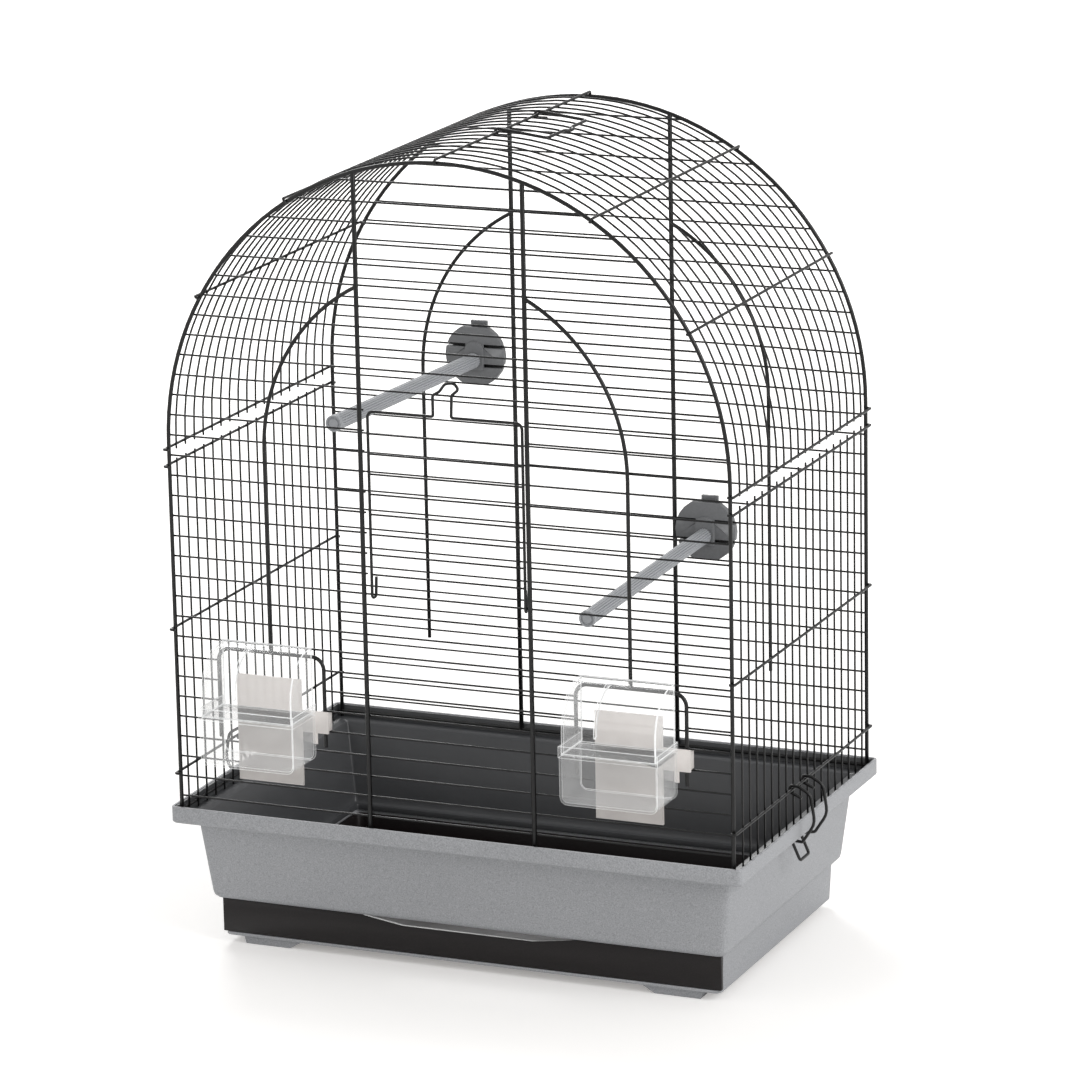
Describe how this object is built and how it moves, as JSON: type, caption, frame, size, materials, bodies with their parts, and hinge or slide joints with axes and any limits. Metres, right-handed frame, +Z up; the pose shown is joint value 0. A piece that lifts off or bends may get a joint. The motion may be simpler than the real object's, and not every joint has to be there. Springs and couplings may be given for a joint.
{
  "type": "bird cage",
  "caption": "Arched wire bird cage on a moulded base with a pull-out drawer, a flap door, hooded clip-on feeders, perches, side latches and a folding carry handle.",
  "frame": {"origin": "on the floor under the middle of the cage with its feeders, between the feet", "axes": "+Z up, the front with the door and the feeders faces -Y, +X to the right as seen from the front"},
  "size_m": [0.4126, 0.2844, 0.5309],
  "materials": {
    "grey_base": "fine matt grain",
    "black_liner": "satin",
    "black_drawer": "semi-gloss",
    "black_wire": "satin black coating",
    "clear_feeder": "clear, polished",
    "milky_bracket": "translucent, smooth",
    "grey_socket": "satin",
    "blue_grey_rod": "satin, fluted"
  },
  "bodies": {
    "cage": {"base_shell": "grey_base", "litter_guard": "black_liner", "front_panel": "black_wire", "rear_panel": "black_wire", "left_side_panel": "black_wire", "right_side_panel": "black_wire", "roof_panel": "black_wire", "left_feeder_bracket": "milky_bracket", "right_feeder_bracket": "milky_bracket", "upper_perch_socket": "grey_socket", "upper_perch_rod": "blue_grey_rod", "lower_perch_socket": "grey_socket", "lower_perch_rod": "blue_grey_rod"},
    "drawer": {"drawer": "black_drawer"},
    "door": {"front_door": "black_wire"},
    "handle": {"carry_handle": "black_wire"},
    "left_latch": {"left_latch": "black_wire"},
    "right_latch": {"right_latch": "black_wire"},
    "left_feeder": {"left_feeder_hood": "clear_feeder"},
    "left_cup": {"left_feeder_cup": "clear_feeder"},
    "right_feeder": {"right_feeder_hood": "clear_feeder"},
    "right_cup": {"right_feeder_cup": "clear_feeder"},
    "upper_backplate": {"upper_perch_backplate": "grey_socket"},
    "lower_backplate": {"lower_perch_backplate": "grey_socket"}
  },
  "joints": [
    {"name": "drawer_slide", "type": "slide", "parent": "cage", "child": "drawer", "axis": [0, -1, 0], "range_m": [0, 0.18]},
    {"name": "door_hinge", "type": "hinge", "parent": "cage", "child": "door", "pos_m": [0, -0.10287, 0.24874], "axis": [1, 0, 0], "range_deg": [0, 160]},
    {"name": "handle_hinge", "type": "hinge", "parent": "cage", "child": "handle", "pos_m": [0, 0.02311, 0.5277], "axis": [0, -1, 0], "range_deg": [0, 186]},
    {"name": "left_latch_hinge", "type": "hinge", "parent": "cage", "child": "left_latch", "pos_m": [-0.1917, 0.00522, 0.1185], "axis": [0, 1, 0], "range_deg": [0, 100]},
    {"name": "right_latch_hinge", "type": "hinge", "parent": "cage", "child": "right_latch", "pos_m": [0.1917, 0.00522, 0.1185], "axis": [0, -1, 0], "range_deg": [0, 100]},
    {"name": "left_feeder_pull", "type": "slide", "parent": "cage", "child": "left_feeder", "axis": [0, -1, 0], "range_m": [0, 0.04]},
    {"name": "left_cup_pull", "type": "slide", "parent": "left_feeder", "child": "left_cup", "axis": [0, 0, -1], "range_m": [0, 0.03]},
    {"name": "right_feeder_pull", "type": "slide", "parent": "cage", "child": "right_feeder", "axis": [0, -1, 0], "range_m": [0, 0.04]},
    {"name": "right_cup_pull", "type": "slide", "parent": "right_feeder", "child": "right_cup", "axis": [0, 0, -1], "range_m": [0, 0.03]},
    {"name": "upper_backplate_turn", "type": "hinge", "parent": "cage", "child": "upper_backplate", "pos_m": [-0.0831, 0.13912, 0.34804], "axis": [0, 1, 0], "range_deg": [0, 90]},
    {"name": "lower_backplate_turn", "type": "hinge", "parent": "cage", "child": "lower_backplate", "pos_m": [0.0791, 0.13912, 0.24212], "axis": [0, 1, 0], "range_deg": [0, 90]}
  ]
}
